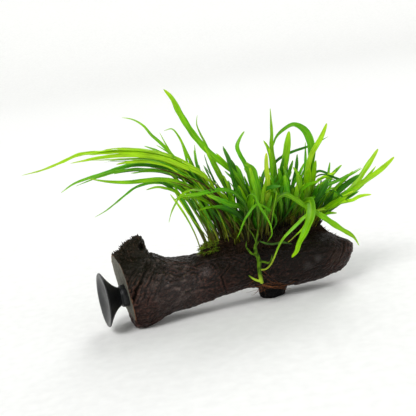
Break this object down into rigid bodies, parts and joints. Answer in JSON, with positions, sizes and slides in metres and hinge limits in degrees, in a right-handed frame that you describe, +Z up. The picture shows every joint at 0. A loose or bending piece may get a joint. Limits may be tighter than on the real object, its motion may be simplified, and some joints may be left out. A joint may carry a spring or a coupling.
{
  "type": "java fern on driftwood",
  "caption": "Narrow-leaf java fern growing along a dark driftwood branch, with a hanging plantlet and a rubber suction cup on the sawn end for fixing to glass.",
  "frame": {"origin": "middle of the bounding box, on the surface that the driftwood rests on", "axes": "+X along the driftwood from the sawn end to the rounded end, +Y away from the viewer, +Z up"},
  "size_m": [0.2694, 0.1058, 0.1674],
  "materials": {
    "wet_driftwood": "satin",
    "black_rubber": "satin",
    "rhizome_skin": "matte",
    "stem_green": "satin",
    "root_brown": "matte",
    "leaf_bright": "satin",
    "leaf_middle": "satin",
    "leaf_dark": "satin",
    "leaf_yellow": "satin"
  },
  "bodies": {
    "root": {"driftwood_trunk": "wet_driftwood", "driftwood_top_stub": "wet_driftwood", "driftwood_under_stub": "wet_driftwood", "suction_cup": "black_rubber", "rhizome_left": "rhizome_skin", "rhizome_middle": "rhizome_skin", "rhizome_right": "rhizome_skin", "plantlet_stem": "stem_green", "runner": "stem_green", "root_tuft": "root_brown", "frond_tall": "leaf_bright", "frond_left_longest": "leaf_bright", "frond_right_arch": "leaf_bright", "frond_plantlet": "leaf_bright", "frond_runner": "leaf_yellow", "frond_front_broad": "leaf_bright", "frond_front_long": "leaf_bright", "frond_right_low": "leaf_bright", "frond_right_high": "leaf_bright", "frond_left_low": "leaf_dark", "frond_left_upper": "leaf_bright", "frond_left_second": "leaf_middle", "frond_left_third": "leaf_middle", "frond_left_fourth": "leaf_middle", "frond_left_thin": "leaf_middle", "frond_left_drooping": "leaf_bright", "frond_upper_pale": "leaf_yellow", "frond_upper_far_arch": "leaf_bright", "frond_upper_left": "leaf_bright", "frond_upper_small_arch": "leaf_bright", "frond_upper_short": "leaf_middle", "frond_middle_bent": "leaf_bright", "frond_middle_dark": "leaf_dark", "frond_middle_left": "leaf_middle", "frond_middle_front": "leaf_bright", "frond_middle_upright": "leaf_bright", "frond_middle_short": "leaf_bright", "frond_middle_pale": "leaf_yellow", "frond_middle_broad": "leaf_bright", "frond_right_upright": "leaf_middle", "frond_middle_stem": "leaf_dark", "frond_right_top": "leaf_bright", "frond_right_flat": "leaf_bright", "frond_right_thin": "leaf_middle", "frond_right_far": "leaf_middle", "frond_right_dark": "leaf_dark", "frond_right_small": "leaf_bright", "frond_right_stem": "leaf_dark", "frond_front_curl": "leaf_middle", "frond_front_thin": "leaf_middle", "frond_front_left": "leaf_middle", "frond_front_level": "leaf_bright", "frond_front_yellow": "leaf_yellow", "frond_inner_left": "leaf_dark", "frond_inner_middle": "leaf_dark", "frond_inner_right": "leaf_dark", "frond_inner_far": "leaf_dark"}
  },
  "joints": []
}
